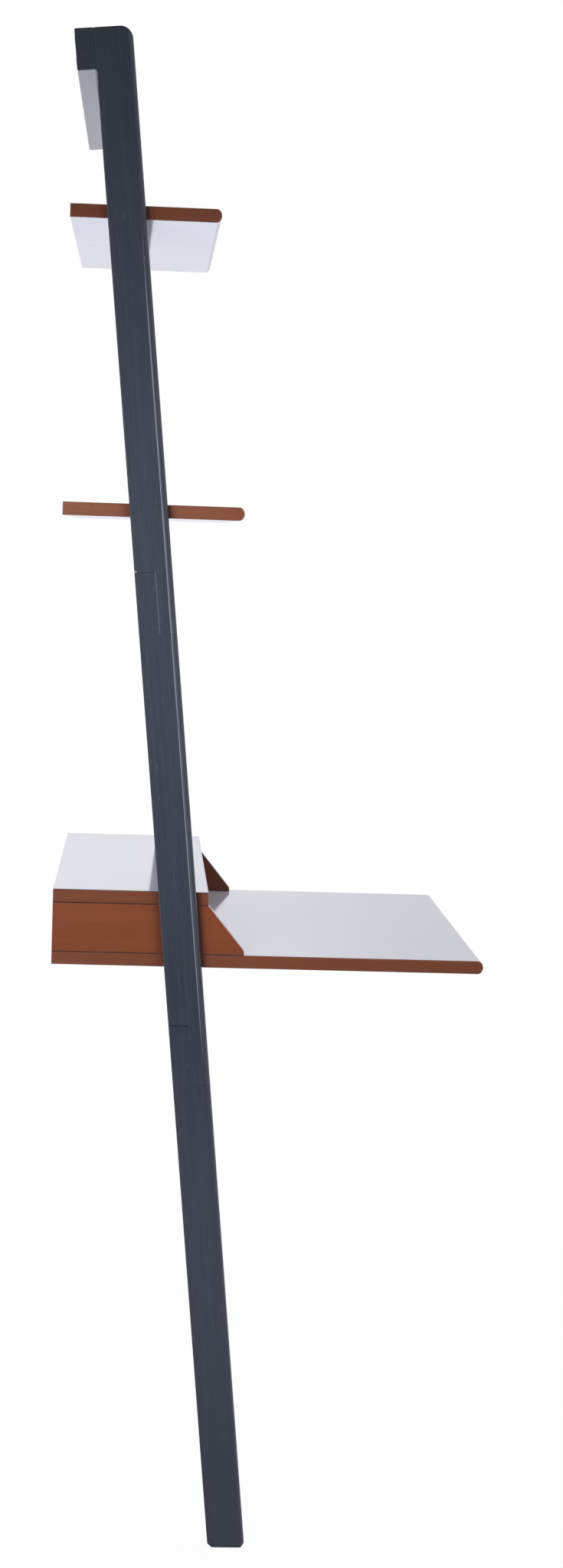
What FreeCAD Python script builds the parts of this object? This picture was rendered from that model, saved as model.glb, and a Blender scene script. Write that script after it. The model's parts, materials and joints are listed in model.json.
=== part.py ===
import FreeCAD, Part
import os
import re
import Sketcher

# A leaning ladder desk. X runs along the shelves, -Y is the front, +Y the wall, Z is up.
# The origin is on the floor, under the middle of the whole desk.

SIZES = {
    # whole desk
    "overall_height": 1829,
    "overall_width": 610,
    "lean_angle": 5.9,
    # posts, each in three lengths with stepped lap joints
    "post_width": 20,
    "post_depth": 45.5,
    "post_front_round": 7,
    "post_back_round": 1.5,
    "post_top_round": 15,
    "foot_chamfer": 5,
    "lap_rise": 72,
    "lap_tongue": 20.7,
    "lap_gap": 0.8,
    "lower_lap_drop": 157,
    "upper_lap_drop": 153,
    "lap_bolt_diameter": 6,
    "lap_bolt_length": 30,
    "lap_bolt_head": 12,
    "lap_bolt_head_height": 3.5,
    "lap_bolt_sink": 6,
    # rail behind the tops of the posts
    "rail_thickness": 22.4,
    "rail_height": 48,
    "rail_round": 1.5,
    "stud_spacing": 406.4,
    "wall_hole": 5.5,
    "wall_hole_sink": 11,
    # white boards with a band on each end
    "board_thickness": 16,
    "band_thickness": 2,
    "band_ease": 0.8,
    "nose_bow": 4.8,
    "nose_round": 5,
    "hutch_nose_round": 1.5,
    "desk_depth": 526,
    "desk_top_height": 737,
    "hutch_depth": 188,
    "hutch_clear_height": 60,
    "middle_shelf_depth": 217,
    "upper_shelf_depth": 179,
    "upper_shelf_drop": 202,
    "shelf_spacing": 349,
    # hutch cheeks and back panel
    "cheek_thickness": 16,
    "cheek_foot_length": 233,
    "cheek_tip_height": 5,
    "cheek_tip_round": 3,
    "panel_thickness": 5,
    "panel_inset": 12,
    "groove_depth": 6,
    "groove_slack": 0.4,
    # dowels
    "fit_slack": 0.2,
    "dowel_diameter": 8,
    "dowel_length": 30,
    "dowel_grip": 10,
    "shelf_dowel_spacing": 28,
    "cheek_dowel_length": 22,
    "cheek_dowel_spacing": 32,
    "cheek_dowel_place": 60,
    # a small pilot hole under the upper shelf
    "pilot_hole": 3,
    "pilot_depth": 10,
    "pilot_place": 21,
}

doc = FreeCAD.newDocument("LadderDesk")
sheet = doc.addObject("Spreadsheet::Sheet", "Sizes")
for row, (alias, size) in enumerate(SIZES.items(), start=1):
    sheet.set(f"A{row}", alias)
    sheet.set(f"B{row}", str(size))
    sheet.setAlias(f"B{row}", alias)
doc.recompute()

# Lengths and places that follow from the sizes above.
SPAN = "(overall_width - 2 * post_width)"
WALL = "(desk_depth / 2)"
SIN = "sin(lean_angle)"
COS = "cos(lean_angle)"
TAN = "tan(lean_angle)"
POST_LENGTH = f"(post_top_round + (overall_height - post_top_round * (1 - {SIN})) / {COS})"
FOOT = f"({WALL} - (post_depth + rail_thickness) * {COS} - {POST_LENGTH} * {SIN})"
UPPER_SHELF = "(overall_height - upper_shelf_drop)"
MIDDLE_SHELF = f"({UPPER_SHELF} - shelf_spacing)"
UPPER_LAP = f"({MIDDLE_SHELF} - upper_lap_drop)"
LOWER_LAP = "(desk_top_height - lower_lap_drop)"
HUTCH_TOP = "(desk_top_height + hutch_clear_height + board_thickness)"
HUTCH_CEILING = "(desk_top_height + hutch_clear_height)"
POST_MIDDLE = "(overall_width / 2 - post_width / 2)"
CHEEK_MIDDLE = f"({SPAN} / 2 - cheek_thickness / 2)"
SIDES = {"left": -1, "right": 1}

nodes = {}


def bound(text):
    """The expression with each size's name pointed at its cell."""
    return re.sub(r"\b[a-z]+(?:_[a-z]+)+\b", lambda found: "Sizes." + found.group(0), text)


def number(text):
    """The value of an expression at the present sizes."""
    value = sheet.evalExpression(bound(text))
    return float(getattr(value, "Value", value))


def bind(item, **values):
    """Ties properties to expressions; a double underscore stands for a dot."""
    for key, text in values.items():
        item.setExpression(key.replace("__", "."), bound(text))
    return item


def place(item, x="0", y="0", z="0"):
    return bind(item, Placement__Base__x=x, Placement__Base__y=y, Placement__Base__z=z)


def lean(item, x):
    """Stands an item in the leaning frame of the posts: Y across from the front, Z along."""
    item.Placement = FreeCAD.Placement(FreeCAD.Vector(), FreeCAD.Rotation(FreeCAD.Vector(1, 0, 0), -1))
    place(item, x, FOOT, "0")
    return bind(item, Placement__Rotation__Angle="-lean_angle")


def post_y(height, across):
    """Y of the line that lies some way behind the posts' front face, at a height."""
    return f"({FOOT} + ({height}) * {TAN} + ({across}) / {COS})"


def lean_point(across, along):
    """Y and Z of a point given across and along the leaning posts."""
    return (f"({FOOT} + ({along}) * {SIN} + ({across}) * {COS})",
            f"(({along}) * {COS} - ({across}) * {SIN})")


def profile(body, name, points, bow):
    """A closed outline on the body's YZ plane, with a dimension on each corner.

    The edge that closes it is straight, or an arc that bows out by some distance.
    """
    plane = next(item for item in body.Origin.OriginFeatures if item.Role == "YZ_Plane")
    sketch = body.newObject("Sketcher::SketchObject", name)
    sketch.AttachmentSupport = [(plane, "")]
    sketch.MapMode = "FlatFace"
    corners = [FreeCAD.Vector(number(y), number(z), 0) for y, z in points]
    for start, end in zip(corners, corners[1:]):
        sketch.addGeometry(Part.LineSegment(start, end))
    if bow:
        crown = (corners[-1] + corners[0]) / 2 - FreeCAD.Vector(number(bow), 0, 0)
        sketch.addGeometry(Part.Arc(corners[-1], crown, corners[0]))
    else:
        sketch.addGeometry(Part.LineSegment(corners[-1], corners[0]))
    for index, (y, z) in enumerate(points):
        sketch.addConstraint(Sketcher.Constraint("Coincident", index, 2, (index + 1) % len(points), 1))
        for kind, text, axis in (("DistanceX", y, -2), ("DistanceY", z, -1)):
            if text == "0":
                sketch.addConstraint(Sketcher.Constraint("PointOnObject", index, 1, axis))
                continue
            at = sketch.addConstraint(Sketcher.Constraint(kind, -1, 1, index, 1, number(text)))
            sketch.setExpression(f"Constraints[{at}]", bound(text))
    if bow:
        chord = f"({points[-1][1]} - {points[0][1]})"
        radius = f"(({chord} / 2) ^ 2 + {bow} ^ 2) / (2 * {bow})"
        at = sketch.addConstraint(Sketcher.Constraint("Radius", len(points) - 1, number(radius)))
        sketch.setExpression(f"Constraints[{at}]", bound(radius))
    return sketch


def padded(name, points, length, bow=None):
    """A body whose outline is drawn on YZ and padded along X."""
    body = doc.addObject("PartDesign::Body", name)
    pad = body.newObject("PartDesign::Pad", name + "_pad")
    pad.Profile = profile(body, name + "_outline", points, bow)
    bind(pad, Length=length)
    doc.recompute()
    return body


def lies_at(axis, distance):
    """A test for edges that lie wholly at one distance along an axis."""
    return lambda edge: all(abs(getattr(vertex.Point, axis) - distance) < 1e-4 for vertex in edge.Vertexes)


def dressed(body, kind, test, **values):
    """The body with a fillet or chamfer on the edges that pass the test."""
    base = body.Tip
    chosen = [f"Edge{index}" for index, edge in enumerate(base.Shape.Edges, start=1) if test(edge)]
    feature = body.newObject("PartDesign::" + kind, body.Name + "_" + kind.lower())
    feature.Base = (base, chosen)
    bind(feature, **values)
    body.Tip = feature
    doc.recompute()
    return body


def rounded(body, radius, test):
    return dressed(body, "Fillet", test, Radius=radius)


def eased(body, size, test):
    return dressed(body, "Chamfer", test, Size=size)


TURNS = {
    "x": ((0, 1, 0), 90),
    "-x": ((0, 1, 0), -90),
    "z": ((0, 0, 1), 0),
}


def turned(item, axis, x, y, z):
    """Points an item's own Z along an axis of the desk, or forwards through the posts."""
    if axis == "through":
        item.Placement = FreeCAD.Placement(FreeCAD.Vector(), FreeCAD.Rotation(FreeCAD.Vector(1, 0, 0), 80))
        bind(item, Placement__Rotation__Angle="90 - lean_angle")
    else:
        direction, angle = TURNS[axis]
        item.Placement = FreeCAD.Placement(
            FreeCAD.Vector(), FreeCAD.Rotation(FreeCAD.Vector(*direction), angle))
    return place(item, x, y, z)


def rod(axis, x, y, z, diameter, length):
    """A cylinder that starts at a point and runs along an axis."""
    item = doc.addObject("Part::Cylinder", "rod")
    bind(item, Radius=f"({diameter}) / 2", Height=length)
    return turned(item, axis, x, y, z)


def taper(axis, x, y, z, start, end, length):
    """A cone from one diameter to another along an axis."""
    item = doc.addObject("Part::Cone", "taper")
    bind(item, Radius1=f"({start}) / 2", Radius2=f"({end}) / 2", Height=length)
    return turned(item, axis, x, y, z)


def block(x, y, z, length, width, height):
    item = doc.addObject("Part::Box", "block")
    bind(item, Length=length, Width=width, Height=height)
    return place(item, x, y, z)


def fused(*pieces):
    item = doc.addObject("Part::MultiFuse", "fused")
    item.Shapes = list(pieces)
    return item


def cut(base, tools):
    """The base with every tool's space taken out of it."""
    item = doc.addObject("Part::Cut", base.Name + "_cut")
    item.Base = base
    item.Tool = tools[0] if len(tools) == 1 else fused(*tools)
    return item


def node(label, item):
    item.Label = label
    nodes[label] = item


def group(label, pieces):
    """Identical fittings kept together as one group of separate solids."""
    item = doc.addObject("Part::Compound", label)
    item.Links = pieces
    node(label, item)


# Dowels and bolts are made with the holes drilled for them.
drilled = {}
fittings = {}


def drill(tool, *pieces):
    for piece in pieces:
        drilled.setdefault(piece, []).append(tool)


def fitting(kind, item):
    fittings.setdefault(kind, []).append(item)


def slack(diameter):
    return f"({diameter} + fit_slack)"


def dowel(axis, x, y, z, length, *pieces):
    """A dowel along an axis, and its hole in each piece that it joins."""
    fitting("dowels", rod(axis, x, y, z, "dowel_diameter", length))
    drill(rod(axis, x, y, z, slack("dowel_diameter"), length), *pieces)


def shelf_joint(shelf, side, post, height):
    """A pair of dowels from a shelf's end into the post beside it."""
    sign = SIDES[side]
    inward = "x" if sign < 0 else "-x"
    x = f"{sign} * ({SPAN} / 2 + dowel_grip)"
    middle = f"({height} - board_thickness / 2)"
    centre = post_y(middle, "post_depth / 2")
    for step in (-1, 1):
        y = f"({centre} + {step} * shelf_dowel_spacing / 2)"
        dowel(inward, x, y, middle, "dowel_length", shelf, f"{side}_{shelf}_band", post)


def cheek_joints(side, post):
    """Dowels from a cheek into its post, the hutch top and the desk board."""
    sign = SIDES[side]
    inward = "x" if sign < 0 else "-x"
    panel = f"{side}_cheek"
    post_x = f"{sign} * ({SPAN} / 2 + dowel_grip)"
    for step in (-1, 1):
        height = f"(desk_top_height + hutch_clear_height / 2 + {step} * cheek_dowel_spacing / 2)"
        dowel(inward, post_x, post_y(height, "post_depth / 2"), height, "cheek_dowel_length", panel, post)
    x = f"{sign} * {CHEEK_MIDDLE}"
    y = f"({WALL} - cheek_dowel_place)"
    dowel("z", x, y, "(desk_top_height - dowel_grip)", "dowel_length", panel, "desk_board")
    dowel("z", x, y, f"({HUTCH_CEILING} + dowel_grip - dowel_length)", "dowel_length", panel, "hutch_top")


def lap_joint(side, height, upper, lower):
    """A bolt from the back edge of a post through a lap, with its head sunk in the lower length."""
    x = f"{SIDES[side]} * {POST_MIDDLE}"
    centre = f"(({height} + lap_rise / 2) / {COS} + post_depth / 2 * {TAN})"
    seat = "post_depth - lap_bolt_sink"
    seat_y, seat_z = lean_point(seat, centre)
    head_y, head_z = lean_point(f"{seat} + lap_bolt_head_height", centre)
    edge_y, edge_z = lean_point("post_depth", centre)
    head = rod("through", x, head_y, head_z, "lap_bolt_head", "lap_bolt_head_height")
    shank = rod("through", x, seat_y, seat_z, "lap_bolt_diameter", "lap_bolt_length")
    fitting("lap_bolts", fused(head, shank))
    drill(rod("through", x, edge_y, edge_z, slack("lap_bolt_head"), "lap_bolt_sink"), lower)
    drill(rod("through", x, seat_y, seat_z, slack("lap_bolt_diameter"), "lap_bolt_length"), lower, upper)


def wall_holes():
    """Countersunk holes through the rail, a stud's spacing apart, for screws into the wall."""
    middle = f"({POST_LENGTH} - rail_height / 2)"
    back_y, back_z = lean_point("(post_depth + rail_thickness)", middle)
    depth = "((wall_hole_sink - wall_hole) / 2)"
    sink_y, sink_z = lean_point(f"(post_depth + {depth})", middle)
    for sign in SIDES.values():
        x = f"{sign} * stud_spacing / 2"
        drill(rod("through", x, back_y, back_z, "wall_hole", "rail_thickness"), "top_rail")
        drill(taper("through", x, sink_y, sink_z, "wall_hole", "wall_hole_sink", depth), "top_rail")


# Posts.
def level(height, across):
    """A corner at a height of the desk, on the line some way behind the posts' front face."""
    return (across, f"({height}) / {COS} + ({across}) * {TAN}")


def lower_outline():
    chamfer = "foot_chamfer"
    return [("0", chamfer), level("0", chamfer), level("0", "(post_depth - foot_chamfer)"),
            ("post_depth", f"post_depth * {TAN} + {chamfer}"),
            level(f"{LOWER_LAP} + lap_rise", "post_depth"),
            level(f"{LOWER_LAP} + lap_rise", "lap_tongue"),
            level(LOWER_LAP, "lap_tongue"), level(LOWER_LAP, "0")]


def middle_outline():
    return [level(LOWER_LAP, "0"), level(LOWER_LAP, "lap_tongue"),
            level(f"{LOWER_LAP} + lap_rise + lap_gap", "lap_tongue"),
            level(f"{LOWER_LAP} + lap_rise + lap_gap", "post_depth"),
            level(f"{UPPER_LAP} + lap_rise", "post_depth"),
            level(f"{UPPER_LAP} + lap_rise", "lap_tongue"),
            level(UPPER_LAP, "lap_tongue"), level(UPPER_LAP, "0")]


def upper_outline():
    return [level(UPPER_LAP, "0"), level(UPPER_LAP, "lap_tongue"),
            level(f"{UPPER_LAP} + lap_rise + lap_gap", "lap_tongue"),
            level(f"{UPPER_LAP} + lap_rise + lap_gap", "post_depth"),
            ("post_depth", POST_LENGTH), ("0", POST_LENGTH)]


OUTLINES = {"lower": lower_outline, "middle": middle_outline, "upper": upper_outline}


def top_corner(x):
    """The waste cut from a post's top front corner to leave it round."""
    corner = block("0", "0", "0", "post_width", "post_top_round", "post_top_round")
    lean(corner, x)
    y, z = lean_point("0", f"({POST_LENGTH} - post_top_round)")
    place(corner, x, y, z)
    core = doc.addObject("Part::Cylinder", "rod")
    bind(core, Radius="post_top_round", Height="post_width")
    y, z = lean_point("post_top_round", f"({POST_LENGTH} - post_top_round)")
    turned(core, "x", x, y, z)
    return cut(corner, [core])


def post_bar(side, part):
    x = "-overall_width / 2" if side == "left" else "overall_width / 2 - post_width"
    body = padded(f"{side}_{part}_bar", OUTLINES[part](), "post_width")
    rise = number("lap_rise")
    for edge_y, radius in (("0", "post_front_round"), ("post_depth", "post_back_round")):
        on_face = lies_at("y", number(edge_y))
        rounded(body, radius, lambda edge: on_face(edge) and edge.Length > rise)
    lean(body, x)
    if part == "upper":
        return cut(body, [top_corner(x)])
    return body


# Boards. Each has its depth, its height and how far its front edge bows out, if it does.
BOARDS = {
    "upper_shelf": ("upper_shelf_depth", UPPER_SHELF, "nose_bow"),
    "middle_shelf": ("middle_shelf_depth", MIDDLE_SHELF, "nose_bow"),
    "hutch_top": ("hutch_depth", HUTCH_TOP, None),
    "desk_board": ("desk_depth", "desk_top_height", "nose_bow"),
}


def board_blank(label, board, length):
    """A length of board from its back edge to its rounded nose."""
    depth, height, bow = BOARDS[board]
    front = bow or "0"
    outline = [(front, "0"), (depth, "0"), (depth, "board_thickness"), (front, "board_thickness")]
    body = padded(label, outline, length, bow)
    nose, run = lies_at("y", number(front)), number(length)
    return rounded(body, "nose_round" if bow else "hutch_nose_round",
                   lambda edge: nose(edge) and abs(edge.Length - run) < 1e-4)


def put_board(item, board, x):
    depth, height, bow = BOARDS[board]
    return place(item, x, f"{WALL} - {depth}", f"{height} - board_thickness")


def board_panel(board):
    panel = board_blank(board + "_panel", board, f"{SPAN} - 2 * band_thickness")
    return put_board(panel, board, f"-{SPAN} / 2 + band_thickness")


def end_band(board, side):
    strip = board_blank(f"{side}_{board}_strip", board, "band_thickness")
    outer = "0" if side == "left" else "band_thickness"
    eased(strip, "band_ease", lies_at("x", number(outer)))
    return put_board(strip, board, f"-{SPAN} / 2" if side == "left" else f"{SPAN} / 2 - band_thickness")


def cheek_panel(side):
    """A panel with a level foot, a blunt tip and a sloping front edge, drawn from its tip."""
    tip = number("cheek_tip_height")
    body = padded(f"{side}_cheek_panel", [
        ("0", "0"), ("cheek_foot_length", "0"), ("cheek_foot_length", "hutch_clear_height"),
        ("cheek_foot_length - hutch_depth", "hutch_clear_height"), ("0", "cheek_tip_height")],
        "cheek_thickness")
    front, at_tip = lies_at("y", 0), lies_at("z", tip)
    rounded(body, "cheek_tip_round", lambda edge: front(edge) and at_tip(edge))
    x = f"-{SPAN} / 2" if side == "left" else f"{SPAN} / 2 - cheek_thickness"
    return place(body, x, f"{WALL} - cheek_foot_length", "desk_top_height")


def hutch_back():
    """A thin panel that stands in the grooves, and the grooves that hold it."""
    length = f"({SPAN} - 2 * cheek_thickness + 2 * groove_depth)"
    tall = "(hutch_clear_height + 2 * groove_depth)"
    low = "(desk_top_height - groove_depth)"
    back = f"({WALL} - panel_inset - panel_thickness)"
    groove = block(f"-{length} / 2", f"{back} - groove_slack / 2", low, length,
                   "panel_thickness + groove_slack", tall)
    drill(groove, "desk_board", "hutch_top", "left_cheek", "right_cheek")
    return block(f"-{length} / 2 + groove_slack", back, low, f"{length} - 2 * groove_slack",
                 "panel_thickness", f"{tall} - groove_slack")


def rail_bar():
    rear = "(post_depth + rail_thickness)"
    body = padded("top_rail_bar", [("post_depth", f"{POST_LENGTH} - rail_height"),
                                   (rear, f"{POST_LENGTH} - rail_height"), (rear, POST_LENGTH),
                                   ("post_depth", POST_LENGTH)], "overall_width")
    rounded(body, "rail_round", lambda edge: edge.Length > number("rail_height + rail_thickness"))
    return lean(body, "-overall_width / 2")


blanks = {"top_rail": rail_bar(), "hutch_back": hutch_back()}
for name in BOARDS:
    blanks[name] = board_panel(name)
for side in SIDES:
    for part in OUTLINES:
        blanks[f"{side}_post_{part}"] = post_bar(side, part)
    for name in BOARDS:
        blanks[f"{side}_{name}_band"] = end_band(name, side)
    blanks[f"{side}_cheek"] = cheek_panel(side)
    shelf_joint("upper_shelf", side, f"{side}_post_upper", UPPER_SHELF)
    shelf_joint("middle_shelf", side, f"{side}_post_upper", MIDDLE_SHELF)
    cheek_joints(side, f"{side}_post_middle")
    lap_joint(side, LOWER_LAP, f"{side}_post_middle", f"{side}_post_lower")
    lap_joint(side, UPPER_LAP, f"{side}_post_upper", f"{side}_post_middle")
wall_holes()
drill(rod("z", "0", f"{WALL} - pilot_place", f"{UPPER_SHELF} - board_thickness",
          "pilot_hole", "pilot_depth"), "upper_shelf")

for label, blank in blanks.items():
    node(label, cut(blank, drilled[label]) if label in drilled else blank)
for label, pieces in fittings.items():
    group(label, pieces)
doc.recompute()

# Every object has to be sound before anything is written.
for item in doc.Objects:
    if "Invalid" in item.State or "Error" in item.State:
        raise RuntimeError(f"{item.Label} failed: {item.State}")
for label, item in nodes.items():
    if item.Shape.isNull() or not item.Shape.isValid():
        raise RuntimeError(f"{label} has no sound shape")

os.makedirs("parts", exist_ok=True)
for label, item in nodes.items():
    item.Shape.exportStep(f"parts/{label}.step")
    box = item.Shape.BoundBox
    print(f"{label}: {len(item.Shape.Solids)} solids, {item.Shape.Volume:.0f} mm3,"
          f" y {box.YMin:.1f} to {box.YMax:.1f}, z {box.ZMin:.1f} to {box.ZMax:.1f}")
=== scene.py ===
import json
import math

import bmesh
import bpy
from mathutils import Matrix, Quaternion, Vector


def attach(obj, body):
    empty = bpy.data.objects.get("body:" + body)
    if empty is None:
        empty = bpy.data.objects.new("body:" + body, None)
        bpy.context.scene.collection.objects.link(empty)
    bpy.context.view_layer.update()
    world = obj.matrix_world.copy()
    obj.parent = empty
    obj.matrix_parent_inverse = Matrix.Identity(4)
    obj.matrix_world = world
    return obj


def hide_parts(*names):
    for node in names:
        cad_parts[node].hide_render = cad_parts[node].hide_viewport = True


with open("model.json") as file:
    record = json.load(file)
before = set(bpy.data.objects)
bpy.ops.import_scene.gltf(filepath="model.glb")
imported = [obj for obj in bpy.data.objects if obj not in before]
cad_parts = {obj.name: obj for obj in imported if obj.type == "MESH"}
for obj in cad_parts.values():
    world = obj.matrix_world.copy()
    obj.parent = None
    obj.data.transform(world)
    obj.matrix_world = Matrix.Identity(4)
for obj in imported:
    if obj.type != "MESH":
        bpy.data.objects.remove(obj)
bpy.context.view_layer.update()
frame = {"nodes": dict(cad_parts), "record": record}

# Sizes in metres, as on the desk itself. X runs along the shelves, -Y is the front, Z is up.
LEAN = math.radians(5.9)
LEAN_TURN = (LEAN, 0.0, 0.0)
UPRIGHT_TURN = (0.0, 0.0, 0.0)
POST_ROUND = 0.007
LAP_TONGUE = 0.0207
HEIGHT_BETWEEN_LAPS = 0.9
SCREW_SPACING = 0.024

# Bolts and screws. A reach is a share of the drive's width or the head's radius, the tip of the shank's.
HEXAGON = 6
HEXAGON_REACH = 1 / math.sqrt(3)
CROSS_REACH = 1.2
CONE_TIP = 0.8
BOLT_SIDES = 48
BOLT_SIZES = {
    "Sink": 0.0, "Head radius": 0.006, "Head height": 0.0035, "Chamfer": 0.0004,
    "Drive width": 0.004, "Drive depth": 0.0024, "Shank radius": 0.003, "Shank length": 0.030}
SCREW_SIDES = 40
SCREW_SIZES = {
    "Sink": -0.0003, "Head radius": 0.0042, "Head height": 0.0026, "Drive width": 0.0011,
    "Drive depth": 0.0016, "Shank radius": 0.002, "Shank length": 0.038}
SPIN_SEED = 0

# Eased edges, and how finely meshes are merged and cut.
EASED_EDGE = 0.0004
POST_EASE = 0.0005
EASED_STEPS = 2
FACE_WEIGHT = 100
SHARP_ANGLE = math.radians(28)
FLAT_ANGLE = math.radians(0.5)
MERGE_DISTANCE = 1e-6
MERGE_FINE = 1e-5
CUT_STEP = 0.012
CUT_CLEARANCE = 0.0008
TOOL_OVERLAP = 0.001

# Lines in the finishes: how far from its middle a line ends, and how far it keeps its full strength.
# A fade is the length in which its ends die away, and the painted shade reaches that far beside a post.
ARRIS_LINE = (0.0008, 0.0004)
LAP_SEAM_LINE = (0.0008, 0.0003)
LAP_SEAM_FADE = 0.004
JOINT_LINE = (0.0009, 0.0005)
JOINT_FADE = 0.001
POST_SHADE = 0.014

# The stretch of the posts' arris that carries the painted highlight: where it sets in, and where it stops.
HIGHLIGHT_STARTS = (0.58, 0.72)
HIGHLIGHT_STOPS = (1.62, 1.48)

# Colours.
CHARCOAL_DEEP = (0.0245, 0.0300, 0.0425, 1)
CHARCOAL_PALE = (0.0335, 0.0395, 0.0545, 1)
CHARCOAL_GRAIN = (0.050, 0.058, 0.078, 1)
CHARCOAL_PORE = (0.012, 0.015, 0.023, 1)
CHARCOAL_FLECK = (0.11, 0.12, 0.15, 1)
# Painted highlights on the posts: a pale line on the arris, and one along the upper lap's seam.
CHARCOAL_ARRIS_HIGHLIGHT = (0.19, 0.20, 0.23, 1)
CHARCOAL_SEAM_HIGHLIGHT = (0.15, 0.16, 0.19, 1)
LAMINATE_DEEP = (0.690, 0.690, 0.755, 1)
LAMINATE_PALE = (0.725, 0.725, 0.790, 1)
BROWN_FIBRE = (0.120, 0.032, 0.0130, 1)
BROWN_PORE = (0.075, 0.021, 0.0100, 1)
# Painted shade in the joints where the cheeks meet the boards, and the hutch-top band's dark core line.
BROWN_JOINT_SHADE_AND_CORE = (0.016, 0.007, 0.005, 1)
# Painted shadow of the posts on the brown pieces beside them.
BROWN_POST_SHADOW = (0.060, 0.019, 0.0105, 1)
# Brown tones by piece: partly stain, partly painted light and shade; the upper shelf is painted darker and
# the middle shelf lighter, as the light falls on them.
BROWN_STAINS_AND_SHADE = {
    "upper_shelf": ((0.112, 0.035, 0.0165, 1), (0.132, 0.042, 0.0205, 1)),
    "middle_shelf": ((0.148, 0.050, 0.0250, 1), (0.172, 0.060, 0.0310, 1)),
    "hutch_top": ((0.126, 0.038, 0.0168, 1), (0.148, 0.046, 0.0212, 1)),
    "desk_board": ((0.138, 0.043, 0.0190, 1), (0.162, 0.052, 0.0240, 1)),
    "cheeks": ((0.158, 0.041, 0.0142, 1), (0.182, 0.049, 0.0176, 1))}
ZINC_BLUE = (0.52, 0.54, 0.57, 1)
ZINC_GREY = (0.66, 0.66, 0.66, 1)
BEECH_DEEP = (0.52, 0.34, 0.19, 1)
BEECH_PALE = (0.62, 0.43, 0.26, 1)
BEECH_FLECK = (0.33, 0.19, 0.10, 1)
WHITE = (1, 1, 1, 1)
SOFT_LIGHT = (0.94, 0.94, 1.0, 1)
FLOOR_NEAR = (0.50, 0.55, 0.66, 1)
FLOOR_FAR = (0.98, 0.98, 1.0, 1)
FLOOR_GLEAM_BEHIND = (0.86, 0.95, 1.2, 1)
FLOOR_GLEAM_AHEAD = (0.88, 0.89, 1.0, 1)

# Stretches of the studio, as parts of a unit direction: where each sets in, and where it is full.
ROOM_AHEAD = (-0.8, 0.2)
BACKDROP = (0.1, 0.95)
FRONT_SIDE = (-0.02, -0.125)
GREY_CARD = (-0.70, -0.88)
CEILING = (0.19, 0.32)
WALL_SIDE = (0.2, 0.7)

# Stretches of the floor along X: where its mirrored light sets in, and where it is full.
FLOOR_TINT = (-1.0, 0.4)
FLOOR_BEFORE_DESK = (-4.5, -1.0)
FLOOR_UNDER_DESK = (-0.6, 0.4)

# The photograph's frame and the camera that fits the desk in it.
PHOTO_HEIGHT = 2048
FOCAL_PIXELS = 3278.9
SENSOR_HEIGHT = 36.0
CAMERA_PLACE = Vector((-3.2981, 0.1617, 1.2422))
CAMERA_YAW = math.radians(-3.236)
CAMERA_PITCH = math.radians(-5.571)
CAMERA_ROLL = math.radians(1.944)


# Node trees.
class Value:
    """A node's output. Python's operators on it add Math nodes."""

    def __init__(self, tree, socket):
        self.tree = tree
        self.socket = socket

    def math(self, operation, *terms):
        return self.tree.node("ShaderNodeMath", {"operation": operation}, dict(enumerate(terms)))

    def __add__(self, other):
        return self.math("ADD", self, other)

    def __radd__(self, other):
        return self.math("ADD", other, self)

    def __sub__(self, other):
        return self.math("SUBTRACT", self, other)

    def __rsub__(self, other):
        return self.math("SUBTRACT", other, self)

    def __mul__(self, other):
        return self.math("MULTIPLY", self, other)

    def __rmul__(self, other):
        return self.math("MULTIPLY", other, self)

    def __abs__(self):
        return self.math("ABSOLUTE", self)

    def most(self, other):
        """The larger of this and another value."""
        return self.math("MAXIMUM", self, other)

    def ramp(self, low, high):
        """0 below low and 1 above high, smooth between; low may be the larger."""
        sockets = {"Value": self, "From Min": low, "From Max": high}
        return self.tree.node("ShaderNodeMapRange", {"interpolation_type": "SMOOTHSTEP"}, sockets)

    def line(self, place, outer, inner):
        """1 within an inner distance of a place and 0 past an outer one."""
        return abs(self - place).ramp(outer, inner)


class Tree:
    """A shader or geometry tree that is built by calls."""

    def __init__(self, nodes):
        self.nodes = nodes

    def node(self, kind, settings=None, sockets=None, output=0):
        """A new node with its settings and the values or links of its sockets."""
        made = self.nodes.nodes.new(kind)
        for name, setting in (settings or {}).items():
            setattr(made, name, setting)
        for name, value in (sockets or {}).items():
            links = value if isinstance(value, list) else [value]
            if isinstance(links[0], Value):
                for link in links:
                    self.nodes.links.new(link.socket, made.inputs[name])
            else:
                made.inputs[name].default_value = value
        return Value(self, made.outputs[output]) if made.outputs else None

    def blend(self, factor, first, second):
        """A colour between two colours."""
        return self.node("ShaderNodeMix", {"data_type": "RGBA"}, {0: factor, 6: first, 7: second}, 2)

    def stretched(self, scale=(1, 1, 1), turn=UPRIGHT_TURN):
        """The desk's own coordinates, turned and then stretched."""
        place = self.node("ShaderNodeTexCoord", output="Object")
        turned = self.node("ShaderNodeMapping", sockets={"Vector": place, "Rotation": turn})
        return self.node("ShaderNodeMapping", sockets={"Vector": turned, "Scale": scale})

    def axis(self, vector, name):
        return self.node("ShaderNodeSeparateXYZ", sockets={"Vector": vector}, output=name)

    def noise(self, scale, detail=3.0, roughness=0.5, turn=UPRIGHT_TURN):
        """Noise over the desk's own coordinates, turned and then stretched."""
        return self.node("ShaderNodeTexNoise", sockets={
            "Vector": self.stretched(scale, turn), "Scale": 1.0, "Detail": detail, "Roughness": roughness})

    def bump(self, height, distance, strength):
        sockets = {"Height": height, "Distance": distance, "Strength": strength}
        return self.node("ShaderNodeBump", sockets=sockets)

    def finish(self, **sockets):
        """The surface of the material; an underscore stands for a space."""
        named = {name.replace("_", " "): value for name, value in sockets.items()}
        surface = self.node("ShaderNodeBsdfPrincipled", sockets=named)
        self.node("ShaderNodeOutputMaterial", sockets={"Surface": surface})


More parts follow.
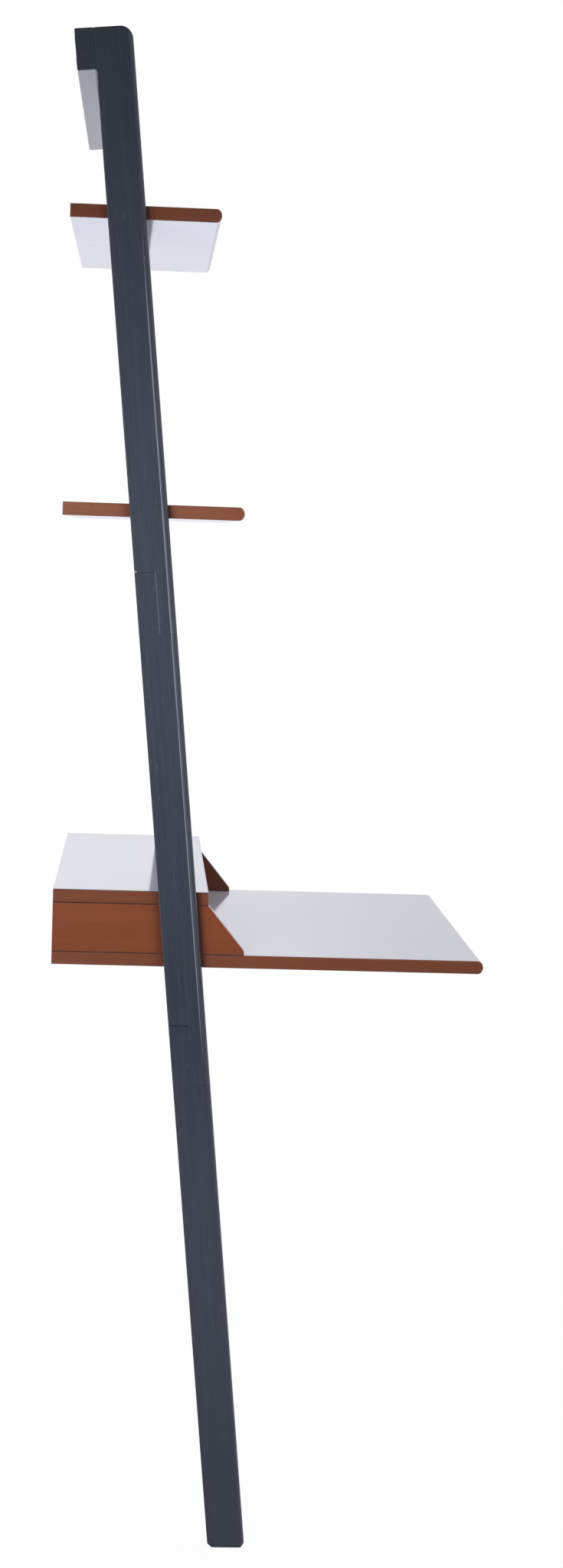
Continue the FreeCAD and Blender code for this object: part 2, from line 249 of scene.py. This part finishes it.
def material(name):
    made = bpy.data.materials.new(name)
    made.use_nodes = True
    made.node_tree.nodes.clear()
    return made, Tree(made.node_tree)


# Measures of the pieces.
def box(numbers):
    """The least and the greatest of some numbers."""
    numbers = list(numbers)
    return min(numbers), max(numbers)


def middle(ends):
    return sum(ends) / 2


def corners(node):
    """The corners of a piece's solid."""
    return [vertex.co for vertex in frame["nodes"][node].data.vertices]


def span(node, axis):
    """The least and the greatest place of a piece along an axis."""
    return box(getattr(corner, axis) for corner in corners(node))


def leaned(point):
    """How far a point lies across and along the leaning posts."""
    across = point.y * math.cos(LEAN) - point.z * math.sin(LEAN)
    return across, point.y * math.sin(LEAN) + point.z * math.cos(LEAN)


def upright(x, across, along):
    """The point that lies some way across and along the leaning posts."""
    back = across * math.cos(LEAN) + along * math.sin(LEAN)
    return Vector((x, back, along * math.cos(LEAN) - across * math.sin(LEAN)))


def leaned_box(points):
    """The reach of some points across and along the leaning posts."""
    across, along = zip(*map(leaned, points))
    return box(across), box(along)


# Finishes.
def post_highlights(tree, shade):
    """Painted highlights: a pale line on the arris where the posts' round front edges start, and one on the
    upper lap's seam.
    """
    highlight_patches = tree.noise((60.0, 60.0, 25.0), turn=LEAN_TURN).ramp(0.20, 0.50)
    square = tree.stretched(turn=LEAN_TURN)
    across, up = tree.axis(square, "Y"), tree.axis(square, "Z")
    front = leaned_box(corners("left_post_lower"))[0][0]
    # Painted highlight: a pale, patchy line on the arris where the round front edge starts, over part of the
    # posts' height.
    arris = across.line(front + POST_ROUND, *ARRIS_LINE) * up.ramp(*HIGHLIGHT_STARTS) * up.ramp(*HIGHLIGHT_STOPS)
    shade = tree.blend(arris * (0.5 + highlight_patches * 0.35), shade, CHARCOAL_ARRIS_HIGHLIGHT)
    foot = leaned_box(corners("left_post_upper"))[1][0]
    head = leaned_box(corners("left_post_middle"))[1][1]
    # Painted highlight: a pale line along the upper lap's seam.
    seam = across.line(front + LAP_TONGUE, *LAP_SEAM_LINE)
    seam = seam * up.ramp(foot, foot + LAP_SEAM_FADE) * up.ramp(head, head - LAP_SEAM_FADE)
    return tree.blend(seam * 0.5, shade, CHARCOAL_SEAM_HIGHLIGHT)


def charcoal_paint(run):
    """Satin paint over open-grained wood, whose grain runs along the posts or along the rail."""
    made, tree = material("charcoal_paint_" + run)

    def grained(length, fine, detail=3.0, roughness=0.5):
        scale = (length, fine, fine) if run == "rail" else (fine, fine, length)
        return tree.noise(scale, detail, roughness, LEAN_TURN)

    grain = grained(6.0, 240.0, detail=5.0, roughness=0.6)
    pores = grained(45.0, 1500.0, detail=2.0).ramp(0.60, 0.72)
    cloud = grained(3.0, 9.0)
    flecks = grained(60.0, 800.0, detail=1.0).ramp(0.72, 0.80)
    shade = tree.blend(cloud, CHARCOAL_DEEP, CHARCOAL_PALE)
    shade = tree.blend(grain.ramp(0.35, 0.75) * 0.30, shade, CHARCOAL_GRAIN)
    shade = tree.blend(pores * 0.45, shade, CHARCOAL_PORE)
    shade = tree.blend(flecks * 0.5, shade, CHARCOAL_FLECK)
    if run == "posts":
        shade = post_highlights(tree, shade)
    tree.finish(Base_Color=shade, Roughness=0.08 + cloud * 0.05, Specular_IOR_Level=0.5,
                Normal=tree.bump(grain * 0.5 - pores * 0.6, distance=0.00008, strength=0.25))
    return made


def white_laminate():
    """Glossy white laminate with a very faint orange peel."""
    made, tree = material("white_laminate")
    cloud = tree.noise((4.0, 4.0, 4.0))
    peel = tree.noise((420.0, 420.0, 420.0), detail=2.0)
    shade = tree.blend(cloud, LAMINATE_DEEP, LAMINATE_PALE)
    tree.finish(Base_Color=shade, Roughness=0.05 + peel * 0.03 + cloud * 0.03,
                Coat_Weight=0.35, Coat_Roughness=0.12,
                Normal=tree.bump(peel, distance=0.00003, strength=0.25))
    return made


def brown_finish(piece, deep, pale):
    """A honey-brown stain over faint straight grain, with painted shade beside the posts and in the joints
    where the cheeks meet the boards, and a dark core line atop the hutch-top band.
    """
    made, tree = material("brown_finish_" + piece)
    bend = tree.noise((2.0, 5.0, 14.0), detail=2.0)
    figure = tree.noise((60.0, 3.2, 150.0), detail=4.0)
    fibre = tree.noise((900.0, 16.0, 1100.0), roughness=0.55)
    pores = tree.noise((1600.0, 60.0, 2200.0), detail=2.0).ramp(0.62, 0.74)
    shade = tree.blend(figure.ramp(0.30, 0.72) * 0.6 + bend.ramp(0.35, 0.7) * 0.4, deep, pale)
    shade = tree.blend(fibre.ramp(0.45, 0.8) * 0.14, shade, BROWN_FIBRE)
    shade = tree.blend(pores * 0.15, shade, BROWN_PORE)
    place = tree.stretched()
    height, depth = tree.axis(place, "Z"), tree.axis(place, "Y")
    # Painted shade: dark lines in the joints at the cheeks' foot and head; the weaker line at the top of the
    # hutch-top band is its dark core.
    foot, head = span("left_cheek", "z")
    tip = span("left_cheek", "y")[0]
    joint = height.line(foot, *JOINT_LINE) + height.line(head, *JOINT_LINE)
    joint = joint * depth.ramp(tip - JOINT_FADE, tip + JOINT_FADE)
    joint = joint + height.line(span("left_hutch_top_band", "z")[1], *JOINT_LINE) * 0.7
    shade = tree.blend(joint * 0.9, shade, BROWN_JOINT_SHADE_AND_CORE)
    # Painted shadow of the posts on the brown faces beside them.
    across = tree.axis(tree.stretched(turn=LEAN_TURN), "Y")
    front, back = leaned_box(corners("left_post_lower"))[0]
    half_post = (back - front) / 2
    beside = across.line(middle((front, back)), half_post + POST_SHADE, half_post)
    shade = tree.blend(beside * 0.6, shade, BROWN_POST_SHADOW)
    tree.finish(Base_Color=shade, Roughness=0.12 + fibre * 0.06 + joint * 0.4, Specular_IOR_Level=0.5,
                Normal=tree.bump(fibre * 0.6 - pores * 0.8, distance=0.00008, strength=0.2))
    return made


def zinc_steel():
    """Bright zinc plate with a fine brushed streak and faint bluish clouds."""
    made, tree = material("zinc_steel")
    streak = tree.noise((2600.0, 2600.0, 300.0))
    cloud = tree.noise((160.0, 160.0, 160.0), detail=2.0)
    shade = tree.blend(cloud, ZINC_BLUE, ZINC_GREY)
    tree.finish(Base_Color=shade, Metallic=1.0, Roughness=0.26 + streak * 0.16,
                Normal=tree.bump(streak, distance=0.00004, strength=0.4))
    return made


def dowel_wood():
    """Pale beech with short dark flecks along the dowel."""
    made, tree = material("dowel_wood")
    fleck = tree.noise((180.0, 1300.0, 1300.0)).ramp(0.55, 0.75)
    cloud = tree.noise((40.0, 40.0, 40.0), detail=2.0)
    shade = tree.blend(cloud, BEECH_DEEP, BEECH_PALE)
    shade = tree.blend(fleck * 0.5, shade, BEECH_FLECK)
    tree.finish(Base_Color=shade, Roughness=0.55 + fleck * 0.1,
                Normal=tree.bump(fleck, distance=0.00008, strength=0.4))
    return made


SLOTS = {subpart["node"]: subpart["material_slot"] for subpart in frame["record"]["subparts"]}
POST_PAINT = charcoal_paint("posts")
RAIL_PAINT = charcoal_paint("rail")
BROWNS = {piece: brown_finish(piece, *tones) for piece, tones in BROWN_STAINS_AND_SHADE.items()}
FINISHES = {"white_laminate": white_laminate(), "zinc_steel": zinc_steel(), "dowel_wood": dowel_wood()}


def finish_of(node):
    """The finish of a piece: the rail's grain runs its own way, and each brown piece has a tone of its own,
    partly stain and partly painted light and shade, the upper shelf darkest.
    """
    if SLOTS[node] == "charcoal_paint":
        return RAIL_PAINT if node == "top_rail" else POST_PAINT
    if "cheek" in node:
        return BROWNS["cheeks"]
    if SLOTS[node] == "brown_finish":
        return BROWNS[node.split("_", 1)[1].removesuffix("_band")]
    return FINISHES[SLOTS[node]]


def paint(item, node):
    item.data.materials.clear()
    item.data.materials.append(finish_of(node))


# Pieces.
def settle(item):
    """Makes an item a plain mesh on the desk, with its modifiers worked in."""
    bpy.context.view_layer.update()
    evaluated = item.evaluated_get(bpy.context.evaluated_depsgraph_get())
    mesh = bpy.data.meshes.new_from_object(evaluated)
    mesh.name = item.name
    item.modifiers.clear()
    item.data = mesh
    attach(item, "root")


def new_object(name, data):
    item = bpy.data.objects.new(name, data)
    bpy.context.scene.collection.objects.link(item)
    return item


def ease(item, width):
    """Eases the sharp edges of an item and keeps its flat faces flat."""
    bevel = item.modifiers.new("ease", "BEVEL")
    bevel.width = width
    bevel.segments = EASED_STEPS
    bevel.use_clamp_overlap = False
    bevel.limit_method = "ANGLE"
    bevel.angle_limit = SHARP_ANGLE
    weighted = item.modifiers.new("flat_faces", "WEIGHTED_NORMAL")
    weighted.weight = FACE_WEIGHT


def cross_cut(shape):
    """Cuts a shape across its longest way, so that the shading of an end stays at that end."""
    ways = [[vertex.co[axis] for vertex in shape.verts] for axis in range(3)]
    axis = max(range(3), key=lambda way: max(ways[way]) - min(ways[way]))
    places, across = ways[axis], Vector([float(axis == way) for way in range(3)])
    start, end = box(places)
    for step in range(1, int((end - start) / CUT_STEP)):
        cut_place = start + step * CUT_STEP
        if all(abs(place - cut_place) > CUT_CLEARANCE for place in places):
            parts = shape.verts[:] + shape.edges[:] + shape.faces[:]
            bmesh.ops.bisect_plane(shape, geom=parts, dist=MERGE_DISTANCE,
                                   plane_co=across * cut_place, plane_no=across)


def eased_piece(node):
    """A piece of the desk with its sharp edges eased, in place of its plain solid."""
    mesh = frame["nodes"][node].data.copy()
    shape = bmesh.new()
    shape.from_mesh(mesh)
    bmesh.ops.remove_doubles(shape, verts=shape.verts, dist=MERGE_DISTANCE)
    bmesh.ops.dissolve_limit(shape, angle_limit=FLAT_ANGLE, verts=shape.verts, edges=shape.edges)
    cross_cut(shape)
    for face in shape.faces:
        face.smooth = True
    shape.to_mesh(mesh)
    shape.free()
    item = new_object(node + "_eased", mesh)
    paint(item, node)
    ease(item, POST_EASE if "_post_" in node else EASED_EDGE)
    settle(item)
    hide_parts(node)


# Bolts and screws, each drawn with its head's outer face at zero and its shank below.
def lowered(tree, shape, drop):
    down = tree.node("ShaderNodeCombineXYZ", sockets={"Z": 0.0 - drop})
    return tree.node("GeometryNodeTransform", sockets={"Geometry": shape, "Translation": down})


def cylinder(tree, sides, radius, depth, top):
    made = tree.node("GeometryNodeMeshCylinder", sockets={
        "Vertices": sides, "Radius": radius, "Depth": depth})
    return lowered(tree, made, top + depth * 0.5)


def cone(tree, sides, upper, lower, depth, top):
    made = tree.node("GeometryNodeMeshCone", sockets={
        "Vertices": sides, "Radius Top": upper, "Radius Bottom": lower, "Depth": depth})
    return lowered(tree, made, top + depth)


def solid(tree, operation, **shapes):
    """What an operation makes of some shapes; an underscore stands for a space."""
    named = {name.replace("_", " "): shape for name, shape in shapes.items()}
    return tree.node("GeometryNodeMeshBoolean", {"operation": operation, "solver": "EXACT"}, named)


def socket_bolt(tree, size):
    """A flat round head with a chamfered rim and a six-sided socket, on a plain shank."""
    sink, height = size["Sink"], size["Head height"]
    rim = size["Head radius"] - size["Chamfer"]
    blank = cylinder(tree, BOLT_SIDES, size["Head radius"], height + TOOL_OVERLAP, sink - TOOL_OVERLAP)
    slope = cone(tree, BOLT_SIDES, rim, rim + height * 2.0, height * 2.0, sink)
    shank = cylinder(tree, BOLT_SIDES, size["Shank radius"], size["Shank length"], sink + height * 0.5)
    drive = cylinder(tree, HEXAGON, size["Drive width"] * HEXAGON_REACH,
                     size["Drive depth"] + TOOL_OVERLAP, sink - TOOL_OVERLAP)
    head = solid(tree, "INTERSECT", Mesh_2=[blank, slope])
    whole = solid(tree, "UNION", Mesh_2=[head, shank])
    return solid(tree, "DIFFERENCE", Mesh_1=whole, Mesh_2=[drive])


def cross_screw(tree, size):
    """A countersunk head with a cross recess, on a plain shank."""
    sink, height = size["Sink"], size["Head height"]
    head = cone(tree, SCREW_SIDES, size["Head radius"], size["Shank radius"] * CONE_TIP, height, sink)
    shank = cylinder(tree, SCREW_SIDES, size["Shank radius"], size["Shank length"], sink + height * 0.5)
    arms = []
    for along, across in (("X", "Y"), ("Y", "X")):
        arm = tree.node("ShaderNodeCombineXYZ", sockets={
            along: size["Head radius"] * CROSS_REACH, across: size["Drive width"],
            "Z": size["Drive depth"] * 2.0})
        arms.append(lowered(tree, tree.node("GeometryNodeMeshCube", sockets={"Size": arm}), sink))
    whole = solid(tree, "UNION", Mesh_2=[head, shank])
    return solid(tree, "DIFFERENCE", Mesh_1=whole, Mesh_2=arms)


def fasteners(name, form, places, sizes):
    """One fastener at each place, facing straight out of the back of the leaning posts."""
    group = bpy.data.node_groups.new(name, "GeometryNodeTree")
    tree = Tree(group)
    values = dict(sizes, Finish=FINISHES["zinc_steel"])
    group.interface.new_socket("Places", in_out="INPUT", socket_type="NodeSocketGeometry")
    for label in sizes:
        group.interface.new_socket(label, in_out="INPUT", socket_type="NodeSocketFloat")
    group.interface.new_socket("Finish", in_out="INPUT", socket_type="NodeSocketMaterial")
    group.interface.new_socket("Fasteners", in_out="OUTPUT", socket_type="NodeSocketGeometry")
    inputs = group.nodes.new("NodeGroupInput").outputs
    given = {socket.name: Value(tree, socket) for socket in inputs if socket.name}
    one = tree.node("GeometryNodeMergeByDistance", sockets={
        "Geometry": form(tree, given), "Distance": MERGE_FINE})
    put = tree.node("GeometryNodeInstanceOnPoints", sockets={
        "Points": given["Places"], "Instance": one, "Rotation": (-math.pi / 2 - LEAN, 0.0, 0.0)})
    spin = tree.node("FunctionNodeRandomValue", {"data_type": "FLOAT"}, {
        2: 0.0, 3: math.pi, "Seed": SPIN_SEED}, 1)
    turn = tree.node("ShaderNodeCombineXYZ", sockets={"Z": spin})
    put = tree.node("GeometryNodeRotateInstances", sockets={"Instances": put, "Rotation": turn})
    real = tree.node("GeometryNodeRealizeInstances", sockets={"Geometry": put})
    real = tree.node("GeometryNodeSetMaterial", sockets={"Geometry": real, "Material": given["Finish"]})
    tree.node("NodeGroupOutput", sockets={"Fasteners": real})
    mesh = bpy.data.meshes.new(name + "_places")
    mesh.from_pydata(places, [], [])
    item = new_object(name, mesh)
    build = item.modifiers.new("build", "NODES")
    build.node_group = group
    for socket in group.interface.items_tree:
        if socket.in_out == "INPUT" and socket.name in values:
            build[socket.identifier] = values[socket.name]
    settle(item)
    item.data.shade_smooth()
    item.data.set_sharp_from_angle(angle=SHARP_ANGLE)
    return item


def bolt_places():
    """The middle of the outer face of each lap bolt's head."""
    bolts = {}
    for corner in corners("lap_bolts"):
        bolts.setdefault((corner.x > 0, corner.z > HEIGHT_BETWEEN_LAPS), []).append(corner)
    places = []
    for points in bolts.values():
        across, along = leaned_box(points)
        places.append(upright(middle(box(point.x for point in points)), across[1], middle(along)))
    return places


def screw_places():
    """Two places behind each post on the rail's rear face."""
    across, along = leaned_box(corners("top_rail"))
    post = middle(span("right_post_upper", "x"))
    heights = [middle(along) + step * SCREW_SPACING / 2 for step in (-1, 1)]
    return [upright(side * post, across[1], height) for side in (-1, 1) for height in heights]


for node in SLOTS:
    if node not in ("dowels", "lap_bolts"):
        eased_piece(node)
paint(frame["nodes"]["dowels"], "dowels")
bolts = fasteners("socket_bolts", socket_bolt, bolt_places(), BOLT_SIZES)
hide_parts("lap_bolts")
fasteners("rail_screws", cross_screw, screw_places(), SCREW_SIZES)


# Studio. The camera stands off the desk's left side and looks along +X.
def softbox(name, place, target, size, power, roll=0, spread=180, mirrored_in_gloss=True):
    """A soft rectangular light that faces a target and is rolled about its own axis."""
    lamp = bpy.data.lights.new(name, "AREA")
    lamp.shape = "RECTANGLE"
    lamp.size, lamp.size_y = size
    lamp.energy = power
    lamp.spread = math.radians(spread)
    item = new_object(name, lamp)
    item.visible_camera = False
    item.visible_glossy = mirrored_in_gloss
    item.location = place
    facing = (Vector(target) - Vector(place)).to_track_quat("-Z", "Y")
    item.rotation_euler = (facing @ Quaternion((0, 0, 1), math.radians(roll))).to_euler()


def ray(tree, name):
    """1 on one kind of ray and 0 on the others."""
    return tree.node("ShaderNodeLightPath", output=name)


def mirrored(tree):
    """1 on rays that show the studio in a gloss or through glass."""
    return ray(tree, "Is Glossy Ray").most(ray(tree, "Is Transmission Ray"))


def studio_world(soft, behind, dim, fade, card, bright):
    """A white backdrop all round; the room behind the camera is dimmer, and dimmer still in mirrored light.

    In mirrored light the backdrop fades a little towards the front, where a grey card stands, and
    the ceiling and the wall side stay bright. The values are the strength as light, the share of
    it behind the camera, and in mirrored light the dim room, the fade, the card and the bright sides.
    """
    world = bpy.data.worlds.new("studio")
    world.use_nodes = True
    world.node_tree.nodes.clear()
    tree = Tree(world.node_tree)
    way = tree.node("ShaderNodeTexCoord", output="Generated")
    ahead, side, height = (tree.axis(way, name) for name in "XYZ")
    lit = soft * (behind + ahead.ramp(*ROOM_AHEAD) * (1.0 - behind))
    backdrop = ahead.ramp(*BACKDROP) * (1.0 - dim) * (1.0 - side.ramp(*FRONT_SIDE) * fade)
    gleam = dim + backdrop + side.ramp(*GREY_CARD) * card
    gleam = gleam.most(height.ramp(*CEILING).most(side.ramp(*WALL_SIDE)) * bright)
    strength = lit + mirrored(tree) * (gleam - lit)
    light = tree.node("ShaderNodeBackground", sockets={"Color": SOFT_LIGHT, "Strength": strength})
    white = tree.node("ShaderNodeBackground", sockets={"Color": WHITE, "Strength": 1.0})
    sky = tree.node("ShaderNodeMixShader", sockets={0: ray(tree, "Is Camera Ray"), 1: light, 2: white})
    tree.node("ShaderNodeOutputWorld", sockets={"Surface": sky})
    bpy.context.scene.world = world


def floor(size, glow, near, far, dim, bright):
    """A pale floor that keeps the desk's shadow and fades into the white backdrop.

    It fades between a near and a far distance. The glow is how white it looks where it is near. In
    mirrored light it goes from bright to dim, and bluer, towards the room behind the camera.
    """
    half = size / 2
    mesh = bpy.data.meshes.new("floor")
    mesh.from_pydata([(-half, -half, 0), (half, -half, 0), (half, half, 0), (-half, half, 0)], [],
                     [(0, 1, 2, 3)])
    item = new_object("floor", mesh)
    made, tree = material("pale_floor")
    place = tree.stretched()
    away = tree.node("ShaderNodeVectorMath", {"operation": "LENGTH"}, {0: place}, "Value").ramp(near, far)
    matt = tree.node("ShaderNodeBsdfDiffuse", sockets={"Color": tree.blend(away, FLOOR_NEAR, FLOOR_FAR)})
    camera = ray(tree, "Is Camera Ray")
    ahead = tree.axis(place, "X")
    tint = tree.blend(ahead.ramp(*FLOOR_TINT), FLOOR_GLEAM_BEHIND, FLOOR_GLEAM_AHEAD)
    tint = tree.blend(camera, tint, WHITE)
    gleam = dim + ahead.ramp(*FLOOR_BEFORE_DESK) * (bright - dim)
    gleam = gleam + ahead.ramp(*FLOOR_UNDER_DESK) * (1.0 - bright)
    strength = gleam + camera * (1.0 - gleam)
    white = tree.node("ShaderNodeEmission", sockets={"Color": tint, "Strength": strength})
    seen = mirrored(tree).most(camera) * (glow + away * (1.0 - glow))
    both = tree.node("ShaderNodeMixShader", sockets={0: seen, 1: matt, 2: white})
    tree.node("ShaderNodeOutputMaterial", sockets={"Surface": both})
    mesh.materials.append(made)


def photo_camera():
    """The camera of the photograph, as far as it could be fitted to the desk's outline."""
    lens = bpy.data.cameras.new("photo_camera")
    lens.sensor_fit = "VERTICAL"
    lens.sensor_height = SENSOR_HEIGHT
    lens.lens = SENSOR_HEIGHT * FOCAL_PIXELS / PHOTO_HEIGHT
    item = new_object("photo_camera", lens)
    forward = Vector((math.cos(CAMERA_PITCH) * math.cos(CAMERA_YAW),
                      math.cos(CAMERA_PITCH) * math.sin(CAMERA_YAW), math.sin(CAMERA_PITCH)))
    right = forward.cross(Vector((0, 0, 1))).normalized()
    up = right.cross(forward)
    turned_right = right * math.cos(CAMERA_ROLL) + up * math.sin(CAMERA_ROLL)
    turned_up = up * math.cos(CAMERA_ROLL) - right * math.sin(CAMERA_ROLL)
    axes = Matrix((turned_right, turned_up, -forward)).transposed()
    item.matrix_world = Matrix.Translation(CAMERA_PLACE) @ axes.to_4x4()
    bpy.context.scene.camera = item


bpy.context.scene.view_settings.view_transform = "Standard"
studio_world(soft=0.72, behind=0.35, dim=0.08, fade=0.3, card=0.5, bright=0.9)
floor(size=30.0, glow=0.97, near=0.7, far=2.2, dim=0.08, bright=0.9)
softbox("side_light", place=(-1.9, 0.62, 1.11), target=(0, 0.1, 1.11), size=(0.8, 0.8), power=5.0,
        spread=60, mirrored_in_gloss=False)
softbox("edge_light", place=(-2.6, -1.12, 1.08), target=(-0.3, 0.1, 1.08), size=(0.42, 2.5), power=7,
        roll=45)
softbox("front_light", place=(0.5, -2.8, 2.3), target=(0, 0, 1.0), size=(1.6, 1.4), power=20,
        mirrored_in_gloss=False)
softbox("top_light", place=(0.2, 0.2, 3.6), target=(0, 0, 0.7), size=(2.4, 2.4), power=3)
photo_camera()
